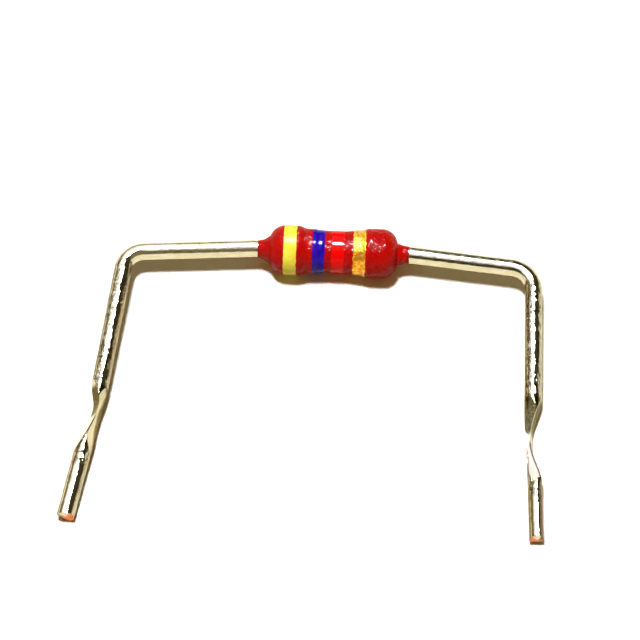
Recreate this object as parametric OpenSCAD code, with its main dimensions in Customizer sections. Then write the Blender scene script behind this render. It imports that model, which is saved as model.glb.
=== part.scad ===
// Axial film resistor, dog-bone body, leads formed for upright insertion in a board.
// The body axis is X. The formed leads reach towards -Y. The part lies as it rests on a
// flat surface at Z = 0: on the band round its left crown, and on the tips of its pins.

/* [Rod and film] */
// Diameter of the ceramic rod
rod_d = 1.58; // [1.2:0.02:1.9]
// Length of the ceramic rod
rod_l = 4.8; // [4.0:0.1:5.8]
// Chamfer on the ends of the rod
rod_chamfer = 0.08; // [0.04:0.01:0.15]
// Thickness of the resistive film, far thicker than the real one so that it can be drawn
film_t = 0.04; // [0.03:0.005:0.06]
// Turns of the trimming groove cut through the film
groove_turns = 3; // [2:1:4]
// Width of the trimming groove, along the rod
groove_w = 0.16; // [0.1:0.01:0.22]
// Film left uncut between each cap's rim and the groove
groove_margin = 0.1; // [0.08:0.01:0.2]

/* [End caps] */
// Wall of the pressed end caps
cap_wall = 0.22; // [0.15:0.01:0.3]
// Length of each end cap, over its closed end
cap_l = 1.25; // [1.0:0.05:1.5]
// Outer radius of the closed end's corner
cap_corner_r = 0.3; // [0.15:0.01:0.4]
// Lead-in chamfer inside the rim
cap_lead_in = 0.06; // [0.03:0.01:0.1]

/* [Coat] */
// Thickness of the lacquer over the caps
coat_over_cap = 0.1; // [0.06:0.01:0.2]
// Thickness of the lacquer over the film at the waist
coat_over_film = 0.145; // [0.08:0.005:0.2]
// Thickness of the lacquer over the closed ends of the caps
coat_over_end = 0.34; // [0.28:0.01:0.5]
// Thickness of the lacquer over the rims of the caps, where it is thinnest
coat_over_rim = 0.02; // [0.01:0.005:0.05]
// Length over which each rounded shoulder falls
shoulder_l = 0.71; // [0.6:0.01:0.85]
// Length of the steep flank on the inner side of each crown
flank_l = 0.42; // [0.3:0.02:0.6]
// How much the radius of the waist grows from its middle to the foot of each flank
waist_taper = 0.065; // [0:0.005:0.08]
// Half the length of the even stretch in the middle of the waist
waist_even_l = 0.35; // [0.1:0.05:0.6]
// How far the left meniscus climbs along the wire from the shoulder
meniscus_left_l = 0.56; // [0.4:0.02:0.8]
// How far the right meniscus climbs along the wire from the shoulder
meniscus_right_l = 0.44; // [0.4:0.02:0.8]
// Height of the left meniscus above the wire, where it leaves the shoulder
meniscus_left_h = 0.19; // [0.08:0.01:0.3]
// Height of the right meniscus above the wire, where it leaves the shoulder
meniscus_right_h = 0.11; // [0.08:0.01:0.3]

/* [Bands] */
// Thickness of the printed ink
ink_t = 0.02; // [0.01:0.005:0.04]
// Width of each colour band
band_w = 0.63; // [0.45:0.01:0.7]
// Middle of the first band, inwards from the foot of the left shoulder
band_yellow_in = 0.95; // [0.85:0.01:1.1]
// Middle of the second band, from the middle of the body
band_violet_x = -0.69; // [-0.8:0.01:-0.6]
// Middle of the third band, from the middle of the body
band_red_x = 0.2; // [0.1:0.01:0.25]
// Middle of the fourth band, from the middle of the body
band_gold_x = 1.2; // [1.1:0.01:1.3]

/* [Leads] */
// Diameter of the lead wire
lead_d = 0.8; // [0.6:0.02:0.9]
// Diameter of the flash that the butt weld leaves on the cap
weld_d = 1.1; // [1.0:0.02:1.3]
// Thickness of the weld flash
weld_t = 0.12; // [0.08:0.01:0.18]
// Centre-line radius of the slight bend where each lead leaves the lacquer
exit_r = 3; // [1.5:0.5:6]
// Distance from the middle of the body to the left lead's corner
left_reach = 9.61; // [8.0:0.05:12]
// Distance from the middle of the body to the right lead's corner
right_reach = 9.3; // [8.0:0.05:12]
// Angle at which the left lead droops from the body axis
left_droop = 4.5; // [1:0.1:8]
// Angle at which the right lead droops from the body axis
right_droop = 5.3; // [1:0.1:8]
// Centre-line radius of the left corner
left_bend_r = 1; // [0.8:0.05:1.8]
// Centre-line radius of the right corner
right_bend_r = 1.15; // [0.8:0.05:1.8]
// Outward lean of the left leg
left_splay = 6; // [0:0.1:10]
// Outward lean of the right leg
right_splay = 1.2; // [0:0.1:10]

/* [Kinks and pins] */
// Length of left leg from its corner to the start of the kink
left_standoff = 6.55; // [5:0.05:9]
// Length of right leg from its corner to the start of the kink
right_standoff = 6.6; // [5:0.05:9]
// Length of the left pressed kink
left_kink_l = 4.15; // [3:0.05:5]
// Length of the right pressed kink
right_kink_l = 4.6; // [3:0.05:5]
// Depth of the left press mark at its deepest
left_kink_depth = 0.37; // [0.2:0.01:0.5]
// Depth of the right press mark
right_kink_depth = 0.44; // [0.2:0.01:0.5]
// Share of a kink's length in which its press mark sinks in
kink_sink_share = 0.3; // [0.2:0.01:0.4]
// Share of a kink's length in which its press mark fades out towards the pin
kink_fade_share = 0.56; // [0.3:0.01:0.6]
// How much wider the wire spreads where it is pressed
kink_spread = 0.1; // [0.05:0.01:0.3]
// Turn of the left press mark about the wire, from straight outwards towards the top
left_press_turn = 24; // [0:1:45]
// Turn of the right press mark about the wire
right_press_turn = 6; // [0:1:45]
// Outward step of the left pin from its leg
left_step = 0.22; // [0:0.01:0.3]
// Outward step of the right pin from its leg
right_step = 0.18; // [0:0.01:0.3]
// Outward turn of the left pin from its leg
left_pin_turn = 3.4; // [0:0.1:6]
// Outward turn of the right pin from its leg
right_pin_turn = 1.9; // [0:0.1:6]
// Length of the left pin below its kink
left_pin_l = 3; // [2:0.05:5]
// Length of the right pin below its kink
right_pin_l = 2.45; // [2:0.05:5]
// Slope of the two facets that the cutters leave on a pin's tip
nip_angle = 14; // [5:1:35]
// Width of the torn copper land between the facets
nip_land = 0.3; // [0.1:0.01:0.4]
// Turn of the left tip's facets about the wire
left_nip_turn = 55; // [0:1:90]
// Turn of the right tip's facets about the wire
right_nip_turn = 0; // [0:1:90]

/* [Hidden] */
$fn = 64;

// Radii and stations along the body, from the middle outwards
lead_r = lead_d / 2;
rod_r = rod_d / 2;
film_r = rod_r + film_t;
cap_r = film_r + cap_wall;
cap_face = rod_l / 2 + cap_wall;
cap_rim = cap_face - cap_l;
crown_r = cap_r + coat_over_cap;
waist_r = film_r + coat_over_film;
shoulder_x = cap_face + coat_over_end;
coat_left_end = shoulder_x + meniscus_left_l;
coat_right_end = shoulder_x + meniscus_right_l;
coat_stations = 120;
cap_corner_step = 15;

// The film's groove, drawn as facets that stay clear of the rod's true curve
film_sides = 20;
film_skin = 0.003;
film_lap = 0.04;
groove_x = cap_rim - groove_margin;

// A skin of rings lies just inside the round wire, and runs a little into it at each end
skin_gap = 0.006;
skin_lap = 0.12;
skin_sides = 28;
kink_rings = 22;
kink_flat_sides = 4;
kink_least_press = 0.004;
bend_least_rings = 4;
bend_ring_step = 5;

// Each lead: [reach, droop, coat end, corner radius, splay, standoff, press turn,
//             step, pin turn, pin length, nip turn, kink length, kink depth]
left_lead = [left_reach, left_droop, coat_left_end, left_bend_r, left_splay, left_standoff,
             left_press_turn, left_step, left_pin_turn, left_pin_l, left_nip_turn,
             left_kink_l, left_kink_depth];
right_lead = [right_reach, right_droop, coat_right_end, right_bend_r, right_splay,
              right_standoff, right_press_turn, right_step, right_pin_turn, right_pin_l,
              right_nip_turn, right_kink_l, right_kink_depth];

// Where a lead's slight exit bend has its corner, just clear of the lacquer
function exit_x(lead) = lead[2] + exit_r * tan(lead[1] / 2);
// A direction in the plane of the leads, from an angle off the outward leg direction
function leg_direction(angle) = [sin(angle), cos(angle)];
// Corner of a lead, as [distance along the body, distance towards the tips]
function corner(lead) = [lead[0], (lead[0] - exit_x(lead)) * tan(lead[1])];
// Where the kink ends and the pin starts, and where the pin's axis ends
function pin_start(lead) = corner(lead) + (lead[5] + lead[11]) * leg_direction(lead[4])
    + lead[7] * [cos(lead[4]), -sin(lead[4])];
function pin_end(lead) = pin_start(lead) + lead[9] * leg_direction(lead[4] + lead[8]);

// The plane of the leads drops from the body axis until the longer pin's tip touches down
rest_h = crown_r + ink_t;
tip_reach = max(pin_end(left_lead)[1], pin_end(right_lead)[1]);
tilt = asin(rest_h / norm([tip_reach, lead_r])) - atan2(lead_r, tip_reach);

// The origin lies below the middle of the box around the part
left_side = pin_end(left_lead)[0] + lead_r;
right_side = pin_end(right_lead)[0] + lead_r;
middle_x = (right_side - left_side) / 2;
middle_y = (crown_r - tip_reach * cos(tilt)) / 2;

// Smooth step from 0 to 1 as x goes from a to b
function ease(x, a, b) =
    let (t = min(1, max(0, (x - a) / (b - a)))) t * t * (3 - 2 * t);

// Where each flank starts, so that the lacquer over the cap's rim keeps its thickness.
// The share of the flank's height at the rim is turned into a share of its length by
// the inverse of the smooth step.
foot_r = waist_r + waist_taper;
rim_share = min(1, max(0, (cap_r + coat_over_rim - foot_r) / (crown_r - foot_r)));
flank_x = cap_rim - flank_l * (0.5 - sin(asin(1 - 2 * rim_share) / 3));

// Radius of the dog bone between its crowns: a slight taper, then a steep flank
function bone(d) = waist_r + waist_taper * ease(d, waist_even_l, flank_x)
    + (crown_r - foot_r) * ease(d, flank_x, flank_x + flank_l);

// Radius of a rounded shoulder: a quarter ellipse from the crown down towards the wire
function shoulder(x) =
    let (t = min(1, max(0, (x - shoulder_x + shoulder_l) / shoulder_l)))
    crown_r - (crown_r - lead_r) * (1 - sqrt(1 - t * t));

// Radius of a meniscus: a concave fillet that thins out along the wire
function meniscus(x, l, h) =
    let (t = min(1, max(0, (shoulder_x + l - x) / l))) lead_r + h * pow(t, 1.5);

// Radius of the lacquer at a distance x right of the middle of the body
function coat_radius(x) =
    let (d = abs(x),
         l = x < 0 ? meniscus_left_l : meniscus_right_l,
         h = x < 0 ? meniscus_left_h : meniscus_right_h)
    max(min(bone(d), shoulder(d)), meniscus(d, l, h));

// Outline of the lacquer as [x, radius], close together on the shoulders and menisci
coat_line = [for (i = [0:coat_stations])
    let (x = -coat_left_end + (coat_left_end + coat_right_end) * i / coat_stations)
    [x, coat_radius(x)]];

// Turns a profile drawn as [radius, distance along the axis] into a body about X
module about_x() {
    rotate([0, 90, 0]) rotate_extrude() children();
}

// Puts the resistor down where it rests, with its body axis at its resting height
module at_rest() {
    translate([-middle_x, -middle_y, rest_h]) children();
}

module ceramic_rod() {
    color("ivory") at_rest() about_x() polygon([
        [0, -rod_l / 2],
        [rod_r - rod_chamfer, -rod_l / 2],
        [rod_r, rod_chamfer - rod_l / 2],
        [rod_r, rod_l / 2 - rod_chamfer],
        [rod_r - rod_chamfer, rod_l / 2],
        [0, rod_l / 2]]);
}

// A plain sleeve of film under one cap, up to where the groove starts
module film_sleeve() {
    about_x() translate([rod_r, groove_x])
        square([film_t, rod_l / 2 - rod_chamfer - groove_x]);
}

// The grooved stretch: a ring with one sector missing, twisted along the rod
module film_helix() {
    sector = 360 - 360 * groove_w * groove_turns / (2 * groove_x);
    steps = floor(sector * film_sides / 360);
    inner = rod_r / cos(180 / film_sides) + film_skin;
    outer = film_r - film_skin;
    rotate([0, 90, 0]) translate([0, 0, -groove_x - film_lap])
        linear_extrude(height = 2 * (groove_x + film_lap), twist = -360 * groove_turns,
                       slices = groove_turns * film_sides, segments = 1)
            polygon(concat(
                [for (i = [0:steps]) let (a = sector * i / steps) outer * [cos(a), sin(a)]],
                [for (i = [steps:-1:0]) let (a = sector * i / steps) inner * [cos(a), sin(a)]]));
}

module resistive_film() {
    color("dimgray") at_rest() {
        film_sleeve();
        mirror([1, 0, 0]) film_sleeve();
        film_helix();
    }
}

// The outside of a cap as [radius, distance along the axis], from its face to its rim
cap_line = concat(
    [[0, cap_face]],
    [for (a = [90:-cap_corner_step:0])
        [cap_r - cap_corner_r + cap_corner_r * cos(a),
         cap_face - cap_corner_r + cap_corner_r * sin(a)]],
    [[cap_r, cap_rim]]);

// A pressed cup, open towards the middle of the body, with its closed end to the right
module end_cap() {
    about_x() polygon(concat(cap_line, [
        [film_r + cap_lead_in, cap_rim],
        [film_r, cap_rim + cap_lead_in],
        [film_r, rod_l / 2],
        [0, rod_l / 2]]));
}

module end_cap_left() {
    color("silver") at_rest() mirror([1, 0, 0]) end_cap();
}

module end_cap_right() {
    color("silver") at_rest() end_cap();
}

// What the lacquer flows round: the caps and their weld flashes, the film and the leads
module coat_core() {
    about_x() {
        translate([0, -cap_rim]) square([film_r, 2 * cap_rim]);
        for (side = [0, 1]) mirror([0, side]) {
            polygon(concat(cap_line, [[0, cap_rim]]));
            translate([0, cap_face]) square([weld_d / 2, weld_t]);
            translate([0, cap_face]) square([lead_r, 2 * coat_left_end]);
        }
    }
}

module lacquer_coat() {
    color("firebrick") at_rest() difference() {
        about_x() polygon(concat(
            [[0, coat_line[0][0]]],
            [for (p = coat_line) [p[1], p[0]]],
            [[0, coat_line[len(coat_line) - 1][0]]]));
        coat_core();
    }
}

// A ring of ink on the lacquer, which follows its outline
module band(x) {
    start = x - band_w / 2;
    end = x + band_w / 2;
    line = concat(
        [[start, lookup(start, coat_line)]],
        [for (p = coat_line) if (p[0] > start && p[0] < end) p],
        [[end, lookup(end, coat_line)]]);
    at_rest() about_x() polygon(concat(
        [for (p = line) [p[1] + ink_t, p[0]]],
        [for (i = [len(line) - 1:-1:0]) [line[i][1], line[i][0]]]));
}

module band_yellow() {
    color("gold") band(band_yellow_in - shoulder_x);
}

module band_violet() {
    color("mediumblue") band(band_violet_x);
}

module band_red() {
    color("red") band(band_red_x);
}

module band_gold() {
    color("goldenrod") band(band_gold_x);
}

// Straight wire along +X, with what follows it placed at its end
module wire(length) {
    rotate([0, 90, 0]) cylinder(r = lead_r, h = length);
    translate([length, 0, 0]) children();
}

// Wire bent towards +Y, as a skin of rings along the arc with a straight lap into the
// wire at each end, and with what follows it placed at its end
module bend(angle, radius) {
    rings = max(bend_least_rings, ceil(angle / bend_ring_step));
    r = lead_r - skin_gap;
    skin([for (i = [-1:rings])
        let (a = angle * min(1, max(0, (i + 0.5) / rings)),
             past = i < 0 ? -skin_lap : i == rings ? skin_lap : 0)
        [for (k = [0:skin_sides - 1])
            let (b = 360 * k / skin_sides, from_centre = radius + r * cos(b))
            [from_centre * sin(a) + past * cos(a),
             radius - from_centre * cos(a) + past * sin(a),
             r * sin(b)]]]);
    translate([0, radius, 0]) rotate([0, 0, angle]) translate([0, -radius, 0]) children();
}

// The butt weld's flash, a thin disc between the cap and the wire
module weld_flash() {
    rotate([0, 90, 0]) cylinder(d = weld_d, h = weld_t);
}

// One section of a kink at t from 0 to 1: the round wire spread sideways, with a flat
// pressed into its -Y side, then turned about the wire. The flat sinks in steeply and
// fades out gently. The centre line is a cubic that leaves along +X and arrives with the
// pin's step and turn.
function kink_section(t, kink_l, kink_depth, press_turn, step, pin_turn) =
    let (u = min(1, max(0, t)),
         press = ease(u, 0, kink_sink_share) * (1 - ease(u, 1 - kink_fade_share, 1)),
         r = lead_r - skin_gap,
         wide = r + press * kink_spread / 2,
         flat = r - max(kink_least_press, press * kink_depth),
         edge = acos(flat / r),
         rise = kink_l * tan(pin_turn),
         y = -(step * u * u * (3 - 2 * u) + rise * (pow(u, 3) - u * u)),
         slope = -atan((step * 6 * u * (1 - u) + rise * (3 * u * u - 2 * u)) / kink_l),
         past = (t - u) * kink_l,
         round_side = [for (i = [0:skin_sides])
             let (a = edge + (360 - 2 * edge) * i / skin_sides) [-r * cos(a), wide * sin(a)]],
         flat_side = [for (i = [1:kink_flat_sides - 1])
             [-flat, -wide * sin(edge) * (1 - 2 * i / kink_flat_sides)]])
    [for (p = concat(round_side, flat_side))
        let (q = [p[0] * cos(press_turn) - p[1] * sin(press_turn),
                  p[0] * sin(press_turn) + p[1] * cos(press_turn)])
        [kink_l * u + past * cos(slope) - q[0] * sin(slope),
         y + past * sin(slope) + q[0] * cos(slope), q[1]]];

// A closed skin over a stack of rings that all have the same number of points. Its end
// faces start from the round side, because three points in line make no corner there.
module skin(rings) {
    n = len(rings[0]);
    far = floor(n / 2);
    top = (len(rings) - 1) * n;
    polyhedron(
        points = [for (ring = rings) each ring],
        faces = concat(
            [[for (k = [n - 1:-1:0]) (k + far) % n]],
            [for (j = [0:len(rings) - 2], k = [0:n - 1])
                [j * n + k, j * n + (k + 1) % n, (j + 1) * n + k]],
            [for (j = [0:len(rings) - 2], k = [0:n - 1])
                [(j + 1) * n + k, j * n + (k + 1) % n, (j + 1) * n + (k + 1) % n]],
            [[for (k = [0:n - 1]) top + (k + far) % n]]));
}

// The pressed kink, with the pin placed at its end
module kink(kink_l, kink_depth, press_turn, step, pin_turn) {
    lap = skin_lap / kink_l;
    skin([for (i = [0:kink_rings])
        kink_section(-lap + (1 + 2 * lap) * i / kink_rings, kink_l, kink_depth, press_turn,
                     step, pin_turn)]);
    translate([kink_l, -step, 0]) rotate([0, 0, -pin_turn]) children();
}

// A pin whose tip was nipped off: two facets and a torn land between them
module pin(length, nip_turn) {
    difference() {
        wire(length);
        for (side = [0, 180])
            translate([length, 0, 0]) rotate([nip_turn + side, 0, 0])
                translate([0, -lead_d, nip_land / 2]) rotate([0, -nip_angle, 0])
                    cube(2 * lead_d);
    }
}

// One formed lead, from the cap's face along +X and then towards +Y
module formed_lead(lead) {
    bend_angle = 90 - lead[1] - lead[4];
    reach = (lead[0] - exit_x(lead)) / cos(lead[1]);
    translate([cap_face, 0, 0]) {
        weld_flash();
        wire(exit_x(lead) - exit_r * tan(lead[1] / 2) - cap_face)
        bend(lead[1], exit_r)
        wire(reach - exit_r * tan(lead[1] / 2) - lead[3] * tan(bend_angle / 2))
        bend(bend_angle, lead[3])
        wire(lead[5] - lead[3] * tan(bend_angle / 2))
        kink(lead[11], lead[12], lead[6], lead[7], lead[8])
        pin(lead[9], lead[10]);
    }
}

module lead_left() {
    color("lightgray") at_rest() rotate([180 + tilt, 0, 0])
        mirror([1, 0, 0]) formed_lead(left_lead);
}

module lead_right() {
    color("lightgray") at_rest() rotate([180 + tilt, 0, 0]) formed_lead(right_lead);
}

ceramic_rod();
resistive_film();
end_cap_left();
end_cap_right();
lacquer_coat();
band_yellow();
band_violet();
band_red();
band_gold();
lead_left();
lead_right();
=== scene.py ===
"""An axial film resistor, put together from its rod outwards, resting on a pale table."""
import math
import bpy
import numpy as np
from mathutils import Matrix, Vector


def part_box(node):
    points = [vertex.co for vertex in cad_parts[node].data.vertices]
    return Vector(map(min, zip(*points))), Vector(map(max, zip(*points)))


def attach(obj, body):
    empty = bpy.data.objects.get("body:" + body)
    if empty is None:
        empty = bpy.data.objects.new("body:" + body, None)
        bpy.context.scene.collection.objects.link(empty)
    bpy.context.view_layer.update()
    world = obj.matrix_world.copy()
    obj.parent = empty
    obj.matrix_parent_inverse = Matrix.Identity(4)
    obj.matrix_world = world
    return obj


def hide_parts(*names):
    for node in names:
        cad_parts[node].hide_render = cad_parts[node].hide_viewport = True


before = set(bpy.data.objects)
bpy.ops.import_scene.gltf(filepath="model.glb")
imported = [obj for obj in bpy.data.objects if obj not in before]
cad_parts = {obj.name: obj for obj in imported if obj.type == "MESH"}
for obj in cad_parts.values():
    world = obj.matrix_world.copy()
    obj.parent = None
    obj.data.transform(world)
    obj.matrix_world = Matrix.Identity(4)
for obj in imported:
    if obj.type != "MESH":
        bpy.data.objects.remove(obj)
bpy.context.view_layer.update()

# ---- The ceramic rod ----
# A rod of fired alumina that carries the film. It is pressed and fired, so it has a dry,
# slightly grainy skin. It is hidden under the film and the caps.

def fill(socket, value):
    """Joins a socket to another socket, or sets its value."""
    if isinstance(value, bpy.types.NodeSocket):
        socket.id_data.links.new(value, socket)
    elif isinstance(value, tuple) and len(value) == 3 and socket.type == "RGBA":
        socket.default_value = (*value, 1)
    else:
        socket.default_value = value


def wiring(tree):
    """A way to add nodes to a tree."""
    def add(kind, settings=(), **inputs):
        """A node of a kind. An input is a value, or a socket to join to it. It is named as
        on the node with spaces as underscores, or in_0 for the first."""
        node = tree.nodes.new("ShaderNode" + kind)
        for key, value in dict(settings).items():
            setattr(node, key, value)
        for key, value in inputs.items():
            fill(node.inputs[int(key[3:]) if key.startswith("in_") else key.replace("_", " ")],
                 value)
        return node.outputs[0]
    return add


def finish(name):
    """A new material, a way to add nodes to it, and a way to set its shader's sockets."""
    material = bpy.data.materials.new(name)
    material.use_nodes = True
    shader = material.node_tree.nodes["Principled BSDF"]

    def coat(**inputs):
        """Sets or joins the shader's own sockets."""
        for key, value in inputs.items():
            fill(shader.inputs[key.replace("_", " ")], value)

    return material, wiring(material.node_tree), coat


def ramp(add, share, low, high, a=0.0, b=1.0):
    """A smooth step from a to b as a share goes from low to high. a and b are numbers or
    colours."""
    colours = not isinstance(a, (int, float))
    step = add("MapRange", {"interpolation_type": "SMOOTHSTEP"}, in_0=share, in_1=low, in_2=high,
               in_3=0.0 if colours else a, in_4=1.0 if colours else b)
    return add("MixRGB", in_0=step, in_1=a, in_2=b) if colours else step


def spot(add):
    """Where a point lies, in metres, on the piece that the material is on."""
    return add("TexCoord").node.outputs["Object"]


def dress(node_name, material):
    """Gives a hidden inner node its own finish."""
    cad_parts[node_name].material_slots[0].material = material


alumina, add, coat = finish("alumina")
grain = add("TexNoise", Vector=spot(add), Scale=9000.0, Detail=4.0)
coat(Base_Color=ramp(add, grain, 0.3, 0.7, (0.78, 0.74, 0.66), (0.90, 0.87, 0.80)),
     Roughness=ramp(add, grain, 0.3, 0.7, 0.55, 0.7),
     Normal=add("Bump", Strength=0.3, Distance=0.00001, Height=grain))
dress("ceramic_rod", alumina)

# ---- The resistive film ----
# Metal film on the rod, trimmed by a helical groove from cap to cap. It is dull and
# dark, with a faint mottle where it was fired on.
film, add, coat = finish("film")
mottle = add("TexNoise", Vector=spot(add), Scale=4000.0, Detail=5.0)
coat(Base_Color=ramp(add, mottle, 0.35, 0.65, (0.17, 0.165, 0.17), (0.33, 0.32, 0.31)),
     Metallic=0.8, Roughness=ramp(add, mottle, 0.3, 0.7, 0.32, 0.48))
dress("resistive_film", film)

# ---- The end caps ----
# Two cups of tin-plated steel, deep-drawn and pressed over the ends of the rod. The
# drawing leaves fine streaks along their sides.
cap_metal, add, coat = finish("cap_metal")
streaks = add("TexNoise", Vector=add("Mapping", Vector=spot(add), Scale=(0.06, 1, 1)),
              Scale=20000.0, Detail=3.0)
coat(Base_Color=ramp(add, streaks, 0.3, 0.7, (0.60, 0.59, 0.56), (0.76, 0.75, 0.71)),
     Metallic=1.0, Roughness=ramp(add, streaks, 0.3, 0.7, 0.22, 0.4),
     Normal=add("Bump", Strength=0.25, Distance=0.000005, Height=streaks))
dress("end_cap_left", cap_metal)
dress("end_cap_right", cap_metal)

# ---- The two formed leads ----
# Tinned copper wire, butt-welded to each cap. It was drawn, tinned hot, then gripped in
# jaws, bent, kinked with a press so that it stops on a board, and nipped to length.
MM = 0.001  # lengths are in millimetres from the body's middle, angles in degrees
rod_low, rod_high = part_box("ceramic_rod")
body_middle = np.array((rod_low + rod_high) / 2)
REST_H = 1.17  # the body's axis over the table
CAP_FACE = 2.62
WELD_R, WELD_T, WELD_EDGE = 0.55, 0.12, 0.03
LEAD_R = 0.4
SKIN_ROOM = 0.003  # kept free under an outline, for unevenness
WAVE, LEG_WAVE = 0.0010, 0.0010  # the wire's long waves, and more of them on the leg
DENT, GRIP_DENT = 0.0002, 0.0022  # its small dents, and more of them where it was gripped
EXIT_R = 3.0  # the slight bend where the wire leaves the lacquer
PRESS_LIFT, PRESS_CORNER = 0.03, 0.004  # a face starts off the wire, with a rounded edge
NIP_SLOPE, NIP_LAND, NIP_L = 14.0, 0.3, 0.5  # the tip slopes back beside a flat ridge
RIM = 0.03

# Each kink has two pressed faces, the main one last. A face's angle is from up towards the
# wire's outer side. It sinks in and fades out over shares of the kink's length. The kink is
# darkened from one share to another, and the squash is a share of the pin's radius.
LEFT = dict(side=-1, coat_end=3.52, reach=9.61, droop=4.5, corner_r=1.0, splay=6.0,
            standoff=6.55, kink_l=4.15, step=0.22, pin_turn=3.4, pin_l=3.0, nip_turn=55.0,
            faces=(dict(angle=-55, depth=0.216, sink=(0.06, 0.48), fade=(0.6, 0.98)),
                   dict(angle=66, depth=0.45, sink=(0.0, 0.36), fade=(0.38, 1.05))),
            scuff=(0.10, 0.52), squash=0.0)
RIGHT = dict(side=1, coat_end=3.40, reach=9.3, droop=5.3, corner_r=1.15, splay=1.2,
             standoff=6.6, kink_l=4.6, step=0.18, pin_turn=1.9, pin_l=2.45, nip_turn=0.0,
             faces=(dict(angle=-12, depth=0.24, sink=(-0.05, 0.40), fade=(0.7, 1.0)),
                    dict(angle=80, depth=0.53, sink=(-0.06, 0.44), fade=(0.5, 1.05))),
             scuff=(-0.03, 0.44), squash=0.33)


def ease(x, a, b):
    """A smooth step from 0 to 1 as x goes from a to b: three times the square of the share
    gone, less twice its cube."""
    t = np.clip((x - a) / (b - a), 0, 1)
    return t * t * (3 - 2 * t)


def window(x, a, b, c, d):
    """1 while x lies from b to c: a smooth step up from a to b, and one down from c to d."""
    return ease(x, a, b) * (1 - ease(x, c, d))


def tip_drop(lead):
    """How far a lead's tip lies from the body's axis: the sum of its lengths, each times
    the sine or the cosine of its slant."""
    droop, splay = math.radians(lead["droop"]), math.radians(lead["splay"])
    start = lead["coat_end"] + EXIT_R * math.tan(droop / 2)
    return ((lead["reach"] - start) * math.tan(droop)
            + (lead["standoff"] + lead["kink_l"]) * math.cos(splay)
            - lead["step"] * math.sin(splay)
            + lead["pin_l"] * math.cos(splay + math.radians(lead["pin_turn"])))


tip_reach = max(tip_drop(LEFT), tip_drop(RIGHT))
tilt = math.asin(REST_H / math.hypot(tip_reach, LEAD_R)) - math.atan2(LEAD_R, tip_reach)


def lead_route(lead):
    """The centre line of a lead in its own plane, the sum of small steps along its heading.
    The heading turns evenly in the exit bend and in the corner, then follows the slope of
    a cubic through the kink, which steps aside and leaves it turned. Returns distances
    along the wire, places, headings, and the distance at which each stretch ends."""
    droop, splay = math.radians(lead["droop"]), math.radians(lead["splay"])
    corner = math.pi / 2 - droop - splay
    exit_x = lead["coat_end"] + EXIT_R * math.tan(droop / 2)
    cut_back = lead["corner_r"] * math.tan(corner / 2)
    arm = (lead["reach"] - exit_x) / math.cos(droop) - EXIT_R * math.tan(droop / 2) - cut_back
    lengths = [lead["coat_end"] - CAP_FACE, EXIT_R * droop, arm, lead["corner_r"] * corner,
               lead["standoff"] - cut_back, lead["kink_l"], lead["pin_l"]]
    ends = np.concatenate([[0], np.cumsum(lengths)])
    small_steps = 40000
    along = np.linspace(0, ends[-1], small_steps + 1)
    u = np.clip((along - ends[5]) / lead["kink_l"], 0, 1)
    rise = lead["kink_l"] * math.tan(math.radians(lead["pin_turn"]))
    slope = (lead["step"] * 6 * u * (1 - u) + rise * (3 * u**2 - 2 * u)) / lead["kink_l"]
    heading = (np.interp(along, ends[1:3], [0, droop])
               + np.interp(along, ends[3:5], [0, corner]) - np.arctan(slope))
    stretch = np.where(along < ends[6], np.hypot(1, slope), 1)
    steps = np.stack([np.cos(heading), np.sin(heading)], 1) * stretch[:, None]
    middle = (steps[1:] + steps[:-1]) / 2 * np.diff(along)[:, None]
    places = np.concatenate([[[CAP_FACE, 0]], np.cumsum(middle, 0) + [CAP_FACE, 0]])
    return along, places, heading, ends


def grid(stations, points_around):
    """A grid of stations along a piece, and of angles around it in equal shares of a turn."""
    angles = np.arange(points_around) * 2 * math.pi / points_around
    return np.meshgrid(stations, angles, indexing="ij")


def ripple(a, b, seed, turns, pitches, count=40):
    """A seamless unevenness of about 1, over an angle a and a length b: a sum of sines of
    whole turns of the angle plus waves along the length. The turns and the pitches of the
    waves are drawn by chance, each between two limits."""
    chance = np.random.default_rng(seed)
    total = np.zeros(np.broadcast(a, b).shape)
    for _ in range(count):
        across = chance.integers(turns[0], turns[1] + 1) * chance.choice([-1, 1])
        along = math.exp(chance.uniform(*np.log(pitches)))
        total += np.sin(across * a + 2 * math.pi * along * b + chance.uniform(0, 2 * math.pi))
    return total * (2 / count) ** 0.5


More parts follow.
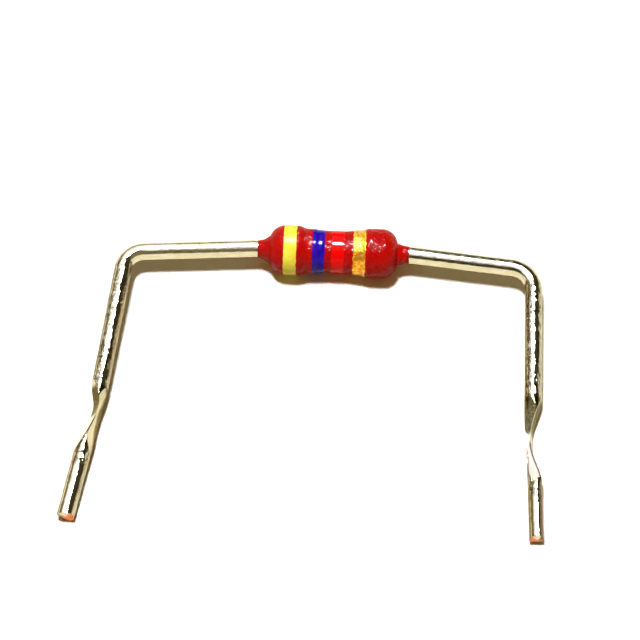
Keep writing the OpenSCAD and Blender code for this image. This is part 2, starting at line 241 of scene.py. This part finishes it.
def skin(name, rings, looped=False):
    """A closed skin over rings of points, each joined to the next. Looped rings join the
    last to the first. Otherwise each end ring is gathered to a point in its middle. Faces
    are turned outwards by the sign of the volume that they enclose."""
    rows, around = rings.shape[:2]
    ring = np.arange(rows * around).reshape(rows, around)
    here, there = (ring, np.roll(ring, -1, 0)) if looped else (ring[:-1], ring[1:])
    quads = np.stack([here, np.roll(here, -1, 1), np.roll(there, -1, 1), there], -1)
    quads = quads.reshape(-1, 4)
    points, tris = rings.reshape(-1, 3), np.empty((0, 3), int)
    if not looped:
        points = np.concatenate([points, rings[:1].mean(1), rings[-1:].mean(1)])
        first, last = np.full((2, around), [[rows * around], [rows * around + 1]])
        tris = np.concatenate([np.stack([np.roll(ring[0], -1), ring[0], first], -1),
                               np.stack([ring[-1], np.roll(ring[-1], -1), last], -1)])
    p0, p1, p2, p3 = np.moveaxis(points[quads], 1, 0)
    if np.einsum("ij,ij->", p0, np.cross(p1, p2) + np.cross(p2, p3)) < 0:
        quads, tris = quads[:, ::-1], tris[:, ::-1]
    corners = np.concatenate([quads.ravel(), tris.ravel()])
    counts = np.concatenate([np.full(len(quads), 4), np.full(len(tris), 3)])
    mesh = bpy.data.meshes.new(name)
    mesh.vertices.add(len(points))
    mesh.vertices.foreach_set("co", (points * MM + body_middle).astype(np.float32).ravel())
    mesh.loops.add(len(corners))
    mesh.loops.foreach_set("vertex_index", corners.astype(np.int32))
    mesh.polygons.add(len(counts))
    mesh.polygons.foreach_set("loop_start", (np.cumsum(counts) - counts).astype(np.int32))
    mesh.polygons.foreach_set("loop_total", counts.astype(np.int32))
    mesh.update(calc_edges=True)
    mesh.shade_smooth()
    piece = bpy.data.objects.new(name, mesh)
    bpy.context.scene.collection.objects.link(piece)
    return piece


def fit_piece(piece, material, node_name):
    """Gives a piece its finish and puts it in place of its node."""
    piece.data.materials.append(material)
    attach(piece, "root")
    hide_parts(node_name)


def mark(piece, name, field):
    """Keeps a number or a place for each point of a lead, for its finish to read. The two
    points that close the ends take the average of their rings."""
    field = np.concatenate([field.reshape(-1, *field.shape[2:]), field[[0, -1]].mean(1)])
    kind, key = ("FLOAT", "value") if field.ndim == 1 else ("FLOAT_VECTOR", "vector")
    values = piece.data.attributes.new(name, kind, "POINT").data
    values.foreach_set(key, field.astype(np.float32).ravel())


def mark_wear(piece, lead, around, u, past, leg, grip, copper):
    """Marks where the tin of a lead is bare, burnished, worn or gripped, where its kink is
    darkened, and where shade is painted on its flanks. Each mark is a product of smooth steps
    in the share u of the kink, in a sine or cosine of the angle around the wire, and in how far
    the round wire stood past a pressed face."""
    side_turn, inner_edge_turn = 1.4, 0.96 + math.pi / 2
    begin, stop = lead["scuff"]
    past_second, past_main = past
    outer_flank, top = np.sin(around), np.cos(around)
    burnished = worn = shade = np.zeros_like(u)
    scuff = (window(u, begin, begin + 0.07, stop - 0.09, stop)
             * (1 - window(past_main, -0.03, -0.01, 0.01, 0.03)))
    if lead["side"] < 0:
        # The press burnished the main face and wore the pin down to the copper on its outer
        # side.
        # The strip along the main face's edge is darkened.
        copper = np.maximum(copper, 0.65 * ease(np.cos(around - side_turn), 0.82, 0.9)
                            * window(u, 0.68, 0.8, 1.02, 1.2))
        ridge = (window(past_main, -0.12, -0.06, -0.004, 0.004)
                 * window(u, stop - 0.09, stop, 0.85, 0.95))
        scuff = np.maximum(scuff * (1 - ease(past_second, -0.02, 0.01)), ridge)
        burnished = ease(past_main, 0.0, 0.02) * ease(u, stop - 0.12, stop - 0.04)
        # Painted shade: both flanks of the leg, the outer one most, and the kink's inner face.
        stain = np.maximum(ease(outer_flank, 0.7, 0.85), 0.5 * ease(-outer_flank, 0.5, 0.65))
        shade = (0.8 * ease(np.cos(around + inner_edge_turn), -0.1, 0.75)
                 * window(u, 0.1, 0.3, 0.9, 1.1))
    else:
        # The edges of the thinnest stretch and of the pin are worn, and the tip is duller.
        copper = 0.7 * copper
        worn = np.maximum(0.5 * ease(np.cos(around + side_turn), 0.84, 0.93)
                          * ease(u, 0.50, 0.6),
                          0.7 * ease(past_main, -0.09, -0.065) * ease(u, 0.44, 0.52))
        worn = np.maximum(worn * (1 - ease(u, 0.88, 1.0)),
                          0.5 * ease(u, 0.9, 1.05) * ease(outer_flank, 0.45, 0.6)
                          * ease(top, -0.1, 0.2))
        # Painted shade on the leg's inner flank and on the pin's outer flank.
        stain = np.maximum(ease(-outer_flank, 0.7, 0.85),
                           1.6 * ease(u, 0.75, 1.0) * ease(outer_flank, 0.4, 0.6))
    stain = np.maximum(stain * (1 - window(u, 0, 0.1, 0.9, 1.05)), shade)
    mark(piece, "bare_copper", copper)
    mark(piece, "scuff", scuff)
    mark(piece, "burnished", burnished)
    mark(piece, "worn_edge", worn)
    # Painted shade, kept on the legs only.
    mark(piece, "stain", leg * stain)
    mark(piece, "gripped", grip * (1 - 0.8 * ease(np.maximum(*past), -0.01, 0.01)))


def formed_lead(name, lead, seed):
    """The skin of one lead: rings carried along its route. Each ring is a circle with a
    slight unevenness, more where the jaws gripped it, and is cut off softly at each pressed
    face: what stands past the face is taken off by a rounded corner. The pin's outer side
    can be flattened. The last rings turn in round the rim of the nipped tip and close it,
    sloping back on both sides of its ridge."""
    ring_step, points_around, rim_rings, tip_rings = 0.035, 112, 6, 20
    route_along, places, headings, ends = lead_route(lead)
    bend_end, kink_start, kink_end, length = ends[4:]
    turn_in = np.linspace(0, math.pi / 2, rim_rings)
    stations = np.concatenate([[0], np.arange(0.01, length - RIM, ring_step),
                               length - RIM + RIM * np.sin(turn_in), np.full(tip_rings, length)])
    shrink = np.concatenate([np.ones(len(stations) - rim_rings - tip_rings),
                             1 - RIM / LEAD_R * (1 - np.cos(turn_in)),
                             (1 - RIM / LEAD_R) * np.linspace(1, 0.02, tip_rings)])[:, None]
    along, around = grid(stations, points_around)

    leg = ease(along, bend_end - 0.6, bend_end + 0.3)
    grip = leg * (1 - ease(along, kink_end, kink_end + 0.8))
    waves = (WAVE + LEG_WAVE * leg) * ripple(around, along, seed, (1, 4), (0.6, 3.0))
    dents = (DENT + GRIP_DENT * grip) * ripple(around, along, seed + 1, (3, 12), (0.14, 0.5), 70)
    radius = LEAD_R - SKIN_ROOM + (waves + dents) * ease(along, 0.9, 1.6)
    radius = radius + (WELD_R - LEAD_R) * ease(-along, -WELD_T - WELD_EDGE, -WELD_T)

    u = (along - kink_start) / lead["kink_l"]
    up, outer = radius * np.cos(around), radius * np.sin(around)
    past = []
    for face in lead["faces"]:
        turn = math.radians(face["angle"])
        share = window(u, *face["sink"], *face["fade"])
        out = up * math.cos(turn) + outer * math.sin(turn)
        across = outer * math.cos(turn) - up * math.sin(turn)
        past.append(out - (LEAD_R + PRESS_LIFT - share * (face["depth"] + PRESS_LIFT)))
        corner = PRESS_CORNER * (1 + share)
        out = out - (past[-1] + np.sqrt(past[-1]**2 + corner**2)) / 2
        up, outer = (out * math.cos(turn) - across * math.sin(turn),
                     out * math.sin(turn) + across * math.cos(turn))
    squash = np.where(outer > 0, lead["squash"] * ease(u, 0.75, 1.05), 0)
    up, outer = up * shrink, outer * shrink * (1 - squash)

    ridge_turn = math.radians(lead["nip_turn"])
    off_ridge = np.abs(outer * math.sin(ridge_turn) - up * math.cos(ridge_turn)) - NIP_LAND / 2
    back = (np.maximum(off_ridge, 0) * math.tan(math.radians(NIP_SLOPE))
            * ease(along, length - NIP_L, length))

    place = np.stack([np.interp(stations, route_along, places[:, i]) for i in (0, 1)], 1)
    heading = np.interp(stations, route_along, headings)
    ahead = np.stack([np.cos(heading), np.sin(heading)], 1)[:, None]
    sideways = np.stack([np.sin(heading), -np.cos(heading)], 1)[:, None]
    flat = place[:, None] - ahead * back[..., None] + sideways * outer[..., None]
    piece = skin(name, np.stack([lead["side"] * flat[..., 0],
                                 -flat[..., 1] * math.cos(tilt) - up * math.sin(tilt),
                                 -flat[..., 1] * math.sin(tilt) + up * math.cos(tilt)], -1))

    mark(piece, "round_and_along",
         np.stack([np.cos(around) * LEAD_R, np.sin(around) * LEAD_R, along], -1))
    smeared_tin = ease(outer + up, -0.15, 0.3)
    copper = ease(along, length - RIM, length - RIM * 0.2) * (1 - 0.8 * smeared_tin)
    mark_wear(piece, lead, around, u, past, leg, grip, copper)
    return piece


def times(add, *shares):
    """The product of some shares."""
    total = shares[0]
    for share in shares[1:]:
        total = add("Math", {"operation": "MULTIPLY"}, in_0=total, in_1=share)
    return total


def plus(add, rest, weight, share):
    """The rest, plus a weight times a share."""
    return add("Math", {"operation": "MULTIPLY_ADD"}, in_0=share, in_1=weight, in_2=rest)


TIN = (0.77, 0.73, 0.58), (0.68, 0.63, 0.46)
GRIPPED_TIN = (0.62, 0.59, 0.44), (0.24, 0.21, 0.12)
BURNISHED_TIN = (1.0, 0.98, 0.92)
# Painted shade.
PAINTED_SHADE_TIN = (0.20, 0.155, 0.065)
DARKENED_TIN = (0.05, 0.04, 0.015), (0.18, 0.15, 0.07)
WORN_TIN = (0.14, 0.07, 0.055)
BARE_COPPER = (0.60, 0.13, 0.035), (0.80, 0.24, 0.08)
tinned_wire, add, coat = finish("tinned_wire")
place = add("Attribute", {"attribute_name": "round_and_along"}).node.outputs["Vector"]
copper, worn, scuff, stain, gripped, burnished = (
    add("Attribute", {"attribute_name": name}).node.outputs["Fac"]
    for name in ("bare_copper", "worn_edge", "scuff", "stain", "gripped", "burnished"))
draw_lines = add("TexNoise", Vector=add("Mapping", Vector=place, Scale=(1, 1, 0.1)),
                 Scale=14.0, Detail=4.0, Roughness=0.6)
dents = add("TexNoise", Vector=place, Scale=4.2, Detail=2.5, Roughness=0.5)
pits = add("TexNoise", Vector=place, Scale=11.0, Detail=3.0, Roughness=0.6)
cloud = add("TexNoise", Vector=add("Mapping", Vector=place, Scale=(1, 1, 0.4)), Scale=3.0,
            Detail=4.0)
tin = ramp(add, cloud, 0.35, 0.65, *TIN)
tin = ramp(add, gripped, 0.0, 1.0, tin, ramp(add, pits, 0.46, 0.60, *GRIPPED_TIN))
tin = ramp(add, burnished, 0.0, 1.0, tin, BURNISHED_TIN)
# Painted shade: dark brown on the legs' flanks and on the left kink's inner face.
tin = ramp(add, plus(add, stain, 0.5, cloud), 0.45, 1.05, tin, PAINTED_SHADE_TIN)
# The kinks' ramps and the left kink's ridge are darkened, mottled by the pits.
tin = ramp(add, scuff, 0.0, 1.0, tin, ramp(add, pits, 0.35, 0.65, *DARKENED_TIN))
tin = ramp(add, worn, 0.0, 0.8, tin, WORN_TIN)
tin = ramp(add, copper, 0.0, 1.0, tin, ramp(add, pits, 0.35, 0.65, *BARE_COPPER))
height = times(add, dents, ramp(add, gripped, 0.0, 1.0, 0.12, 1.0))
height = plus(add, plus(add, height, 0.08, draw_lines), 0.05, pits)
coat(Base_Color=tin, Metallic=1.0, Roughness=ramp(add, pits, 0.3, 0.7, 0.06, 0.12),
     Specular_Tint=ramp(add, scuff, 0.0, 1.0, (1.0, 1.0, 1.0), (0.68, 0.64, 0.52)),
     Normal=add("Bump", Strength=1.0, Distance=0.000060, Height=height))
fit_piece(formed_lead("tinned_lead_left", LEFT, 11), tinned_wire, "lead_left")
fit_piece(formed_lead("tinned_lead_right", RIGHT, 23), tinned_wire, "lead_right")

# ---- The lacquer ----
# A thick coat of red lacquer, flowed over the caps and the film in one go. It is thickest
# on the crowns, sags to a waist between them, and climbs the wires as it sets. The skin
# has orange peel.
CAP_R, CAP_RIM, FILM_R = 1.05, 1.37, 0.83
CAP_CORNER = (2.62, 0.75), (2.60, 0.85), (2.53, 0.96), (2.42, 1.03), (2.32, 1.05)
CROWN_R, WAIST_R, TAPER, EVEN = 1.15, 0.975, 0.065, 0.35
FLANK_L, FLANK_X = 0.42, 1.2258
SHOULDER_X, SHOULDER_L = 2.96, 0.71
CLIMB_L, CLIMB_H, HOLLOW = np.array([[0.56, 0.54], [0.19, 0.11], [0.22, 0.09]])  # left, right
HOLLOW_X, HOLLOW_FADE = (2.4, 2.8), 0.3
COAT_WAVE = 0.0008


def coat_radius(x):
    """The lacquer's outline: the lesser of a bone and a shoulder, joined to a climb. The
    bone is a waist that tapers out to a steep flank in two smooth steps, the shoulder is
    a quarter ellipse, and the climb thins out along the wire as a power of 1.5. The joint
    is half the sum of both and of the root of their difference squared plus a hollow's."""
    side = (x >= 0).astype(int)
    d, climb_l = np.abs(x), CLIMB_L[side]
    bone = (WAIST_R + TAPER * ease(d, EVEN, FLANK_X)
            + (CROWN_R - WAIST_R - TAPER) * ease(d, FLANK_X, FLANK_X + FLANK_L))
    t = np.clip((d - SHOULDER_X + SHOULDER_L) / SHOULDER_L, 0, 1)
    shoulder = CROWN_R - (CROWN_R - LEAD_R) * (1 - np.sqrt(1 - t**2))
    body = np.minimum(bone, shoulder)
    climb = LEAD_R + CLIMB_H[side] * np.clip((SHOULDER_X + climb_l - d) / climb_l, 0, 1) ** 1.5
    hollow = HOLLOW[side] * window(d, *HOLLOW_X, SHOULDER_X, SHOULDER_X + HOLLOW_FADE)
    return (body + climb + np.sqrt((body - climb) ** 2 + hollow**2)) / 2


def about_body(x, radius, around):
    """Points at a distance x along the body and a radius from its axis, which the cosine
    and the sine of the angle around it share out."""
    return np.stack(np.broadcast_arrays(x, radius * np.cos(around), radius * np.sin(around)), -1)


left_end, right_end = (SHOULDER_X + CLIMB_L) * [-1, 1]
along, around = grid(np.linspace(left_end, right_end, 420), points_around=200)
outside = (coat_radius(along) - SKIN_ROOM
           + COAT_WAVE * ripple(around, along, 5, (0, 6), (0.3, 1.6)))
bore = np.array([(right_end, LEAD_R), (CAP_FACE + WELD_T, LEAD_R), (CAP_FACE + WELD_T, WELD_R),
                 (CAP_FACE, WELD_R), *CAP_CORNER, (CAP_RIM, CAP_R), (CAP_RIM, FILM_R)])
bore = np.concatenate([bore, bore[::-1] * [-1, 1]])
bore[-1, 0] = left_end
shell = np.concatenate([about_body(along, outside, around),
                        about_body(bore[:, :1], bore[:, 1:], around[:1])])

red_lacquer, add, coat = finish("red_lacquer")
peel = add("TexNoise", Vector=spot(add), Scale=9500.0, Detail=1.0, Roughness=0.5)
depth = add("TexNoise", Vector=spot(add), Scale=1200.0, Detail=3.0)
facing = add("LayerWeight", Blend=0.5).node.outputs["Facing"]
coat(Base_Color=ramp(add, depth, 0.3, 0.7, (0.43, 0.0016, 0.0008), (0.50, 0.003, 0.0015)),
     Roughness=0.06, Specular_IOR_Level=ramp(add, facing, 0.35, 0.75, 0.09, 0.013),
     Normal=add("Bump", Strength=1.0, Distance=0.000045, Height=peel))
fit_piece(skin("lacquer_shell", shell, looped=True), red_lacquer, "lacquer_coat")

# ---- The four colour bands ----
# Rings of thick ink, rolled on over the cured lacquer. Their edges wander a little, and
# the gold one carries metal flakes.
BAND_W, INK_T, INK_SINK, UNDER_SINK = 0.63, 0.02, 0.01, 0.02


def band(name, middle, seed, wander, swell=0):
    """A ring of ink that follows the lacquer's outline. Its edges wander. Its section is a
    low cushion, one less the share across to the power of 14, and can swell twice across
    as a cosine."""
    t, around = grid(np.linspace(-1, 1, 40), points_around=256)
    edges = [wander * ripple(around[0], 0, seed + i, (2, 24), (1, 2), 24) for i in (0, 1)]
    x = (middle + t * (BAND_W / 2 - 1.5 * wander)
         + np.where(t < 0, edges[0], edges[1]) * np.abs(t))
    x = np.clip(x, middle - BAND_W / 2, middle + BAND_W / 2)
    top = (coat_radius(x) - INK_SINK + INK_T * (1 - np.abs(t) ** 14)
           - swell * np.cos(2 * math.pi * t))
    under = coat_radius(x[::-1]) - UNDER_SINK
    return skin(name, np.concatenate([about_body(x, top, around),
                                      about_body(x[::-1], under, around)]), looped=True)


def ink(name, dark, light, roughness, shine):
    """A smooth ink with a slight mottle and a gloss."""
    material, add, coat = finish(name)
    mottle = add("TexNoise", Vector=spot(add), Scale=2500.0, Detail=2.0)
    coat(Base_Color=ramp(add, mottle, 0.35, 0.65, dark, light), Roughness=roughness,
         Specular_IOR_Level=shine,
         Normal=add("Bump", Strength=1.0, Distance=0.000010, Height=mottle))
    return material


yellow = ink("yellow_ink", (0.86, 0.76, 0.05), (0.96, 0.87, 0.09), 0.32, 0.12)
violet = ink("violet_ink", (0.018, 0.003, 0.34), (0.030, 0.006, 0.42), 0.10, 0.10)
red = ink("red_ink", (0.86, 0.001, 0.001), (0.94, 0.002, 0.002), 0.08, 0.10)
gold, add, coat = finish("gold_ink")
flakes = add("TexVoronoi", Vector=spot(add), Scale=10000.0)
flake_tone = add("TexNoise", Vector=spot(add), Scale=6000.0, Detail=2.0)
coat(Base_Color=ramp(add, flake_tone, 0.38, 0.62, (0.72, 0.24, 0.01), (1.0, 0.58, 0.05)),
     Metallic=0.75, Roughness=0.30,
     Normal=add("Bump", Strength=1.0, Distance=0.000022, Height=flakes))
fit_piece(band("band_yellow_ink", -2.01, 41, 0.005), yellow, "band_yellow")
fit_piece(band("band_violet_ink", -0.69, 51, 0.004, 0.0064), violet, "band_violet")
fit_piece(band("band_red_ink", 0.2, 61, 0.004), red, "band_red")
fit_piece(band("band_gold_ink", 1.2, 71, 0.012), gold, "band_gold")

# ---- The table, the camera and the light ----
# A plain white table. A compact lamp stands almost straight above the part and makes its
# shadow. A second lamp behind it, a pale card and the room only show in what shines.

def stand(piece, azimuth, elevation, distance, target=(0, 0, 0)):
    """Puts a piece at a distance from a target, in the direction of an azimuth and an
    elevation: the sine and cosine of the one, times the cosine of the other, and its sine.
    It is turned to face the target."""
    a, e = math.radians(azimuth), math.radians(elevation)
    away = np.array([math.sin(a) * math.cos(e), -math.cos(a) * math.cos(e), math.sin(e)])
    piece.location = np.array(target) + away * distance
    piece.rotation_euler = (math.pi / 2 - e, 0, a)
    bpy.context.scene.collection.objects.link(piece)
    return piece


camera = bpy.data.objects.new("camera", bpy.data.cameras.new("camera"))
stand(camera, azimuth=2.8, elevation=60, distance=0.2, target=(0.000305, 0.0035, 0.0))
camera.data.sensor_width, camera.data.lens = 36, 243
camera.data.clip_start, camera.data.clip_end = 0.01, 10
bpy.context.scene.camera = camera


def by_ray(add, seen, mirrored, other):
    """One of three colours: the one seen by the camera, the one mirrored in what shines,
    and the one that any other ray meets."""
    rays = add("LightPath").node.outputs
    direct = add("Math", {"operation": "LESS_THAN"}, in_0=rays["Diffuse Depth"], in_1=0.5)
    colour = add("MixRGB", in_0=times(add, rays["Is Glossy Ray"], direct), in_1=other,
                 in_2=mirrored)
    return add("MixRGB", in_0=rays["Is Camera Ray"], in_1=colour, in_2=seen)


table_mesh = bpy.data.meshes.new("table")
table_mesh.from_pydata([(-1, -1, 0), (1, -1, 0), (1, 1, 0), (-1, 1, 0)], [], [(0, 1, 2, 3)])
table = bpy.data.objects.new("table", table_mesh)
bpy.context.scene.collection.objects.link(table)
table_white, add, coat = finish("table_white")
matt = add("BsdfDiffuse", Color=by_ray(add, seen=(1.05, 1.05, 1.05),
                                       mirrored=(0.92, 0.87, 0.71), other=(0.45, 0.42, 0.36)))
fill(table_white.node_tree.nodes["Material Output"].inputs["Surface"], matt)
table_mesh.materials.append(table_white)


def lamp(name, azimuth, elevation, size, power):
    """A round lamp that faces the part from 0.6 m away."""
    light = bpy.data.lights.new(name, "AREA")
    light.shape, light.size, light.energy = "DISK", size, power
    return stand(bpy.data.objects.new(name, light), azimuth, elevation, distance=0.6)


key = lamp("key", azimuth=240, elevation=83.5, size=0.10, power=4.2)
key.visible_glossy = False
glint = lamp("glint", azimuth=180, elevation=73, size=0.12, power=14)
glint.visible_diffuse = False

# The back wall is olive on the left and dark on the right, with a pale strip low down. The
# front wall is dark on the left and olive on the right, and white low down. The card hangs
# over the left. A slant is a direction's x or y over its height.
DARK_BACK, DARK_FRONT, OLIVE = (0.053, 0.042, 0.019), (0.047, 0.033, 0.01), (0.24, 0.195, 0.095)
PALE_WALL, WHITE_WALL, CARD = (0.88, 0.85, 0.66), (1.15, 1.13, 0.98), (1.42, 1.44, 1.63)
world = bpy.data.worlds.new("room")
bpy.context.scene.world = world
world.use_nodes = True
add = wiring(world.node_tree)
x, y, z = add("SeparateXYZ", Vector=add("TexCoord").node.outputs["Generated"]).node.outputs
height = add("Math", {"operation": "MAXIMUM"}, in_0=z, in_1=0.03)
slant_x, slant_y = (add("Math", {"operation": "DIVIDE"}, in_0=side, in_1=height)
                    for side in (x, y))
back = ramp(add, times(add, ramp(add, x, 0.0, 0.3), ramp(add, z, 0.24, 0.12)), 0.0, 1.0,
            DARK_BACK, PALE_WALL)
back = ramp(add, x, 0.02, -0.06, back, OLIVE)
front = ramp(add, x, -0.10, 0.03, DARK_FRONT, OLIVE)
front = ramp(add, z, 0.30, 0.44, WHITE_WALL, front)
room = ramp(add, y, 0.02, -0.10, back, front)
card = times(add, ramp(add, slant_x, 0.10, -0.07), ramp(add, slant_x, -1.38, -0.93),
             ramp(add, slant_y, -0.6, -0.25), ramp(add, z, 0.33, 0.42))
room = ramp(add, card, 0.0, 1.0, room, CARD)
fill(world.node_tree.nodes["Background"].inputs["Color"],
     by_ray(add, seen=(1.0, 1.0, 1.0), mirrored=room, other=(0.17, 0.115, 0.035)))

bpy.context.scene.view_settings.view_transform = "Standard"
